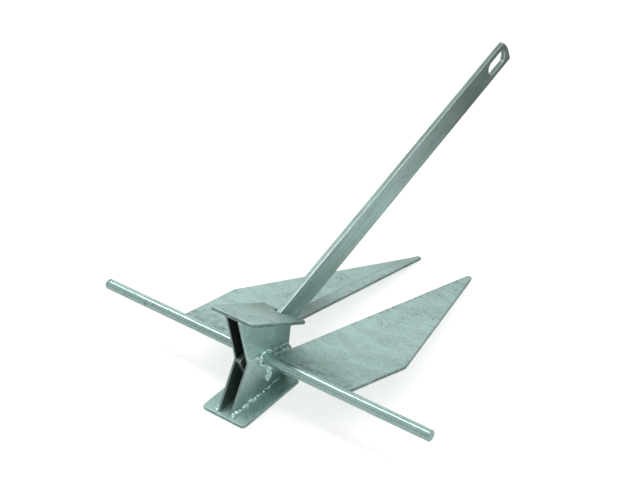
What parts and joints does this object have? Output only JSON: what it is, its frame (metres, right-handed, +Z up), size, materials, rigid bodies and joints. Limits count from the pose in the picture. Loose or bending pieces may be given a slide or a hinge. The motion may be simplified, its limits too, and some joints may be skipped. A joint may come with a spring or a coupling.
{
  "type": "boat anchor",
  "caption": "Twin-fluke sand anchor: flat flukes and a plate crown welded to a round stock, with a flat-bar shank that swings on the stock between two stops.",
  "frame": {"origin": "on the ground, under the middle of the whole anchor as it stands on its lower palm and fluke tips", "axes": "+X along the stock, +Y towards the fluke tips and the shank's head, +Z up"},
  "size_m": [0.44, 0.5144, 0.2633],
  "materials": {
    "galvanised_plate": "hot-dip galvanised, satin, faintly mottled",
    "galvanised_bar": "hot-dip galvanised, satin to glossy",
    "galvanised_weld": "glossy zinc over lumpy weld beads"
  },
  "bodies": {
    "crown": {"stock": "galvanised_bar", "side_plate_left": "galvanised_plate", "side_plate_right": "galvanised_plate", "upper_palm": "galvanised_plate", "lower_palm": "galvanised_plate", "fluke_left": "galvanised_plate", "fluke_right": "galvanised_plate", "stock_weld_left": "galvanised_weld", "stock_weld_right": "galvanised_weld", "upper_palm_weld_left": "galvanised_weld", "upper_palm_weld_right": "galvanised_weld", "lower_palm_weld_left": "galvanised_weld", "lower_palm_weld_right": "galvanised_weld", "fluke_seam_left": "galvanised_weld", "fluke_seam_right": "galvanised_weld", "fluke_root_weld_left": "galvanised_weld", "fluke_root_weld_right": "galvanised_weld", "tack_weld_left": "galvanised_weld", "tack_weld_right": "galvanised_weld"},
    "shank": {"shank": "galvanised_bar"}
  },
  "joints": [
    {"name": "shank_swing", "type": "hinge", "parent": "crown", "child": "shank", "pos_m": [0, -0.2017, 0.05231], "axis": [1, 0, 0], "range_deg": [-64, 0]}
  ]
}
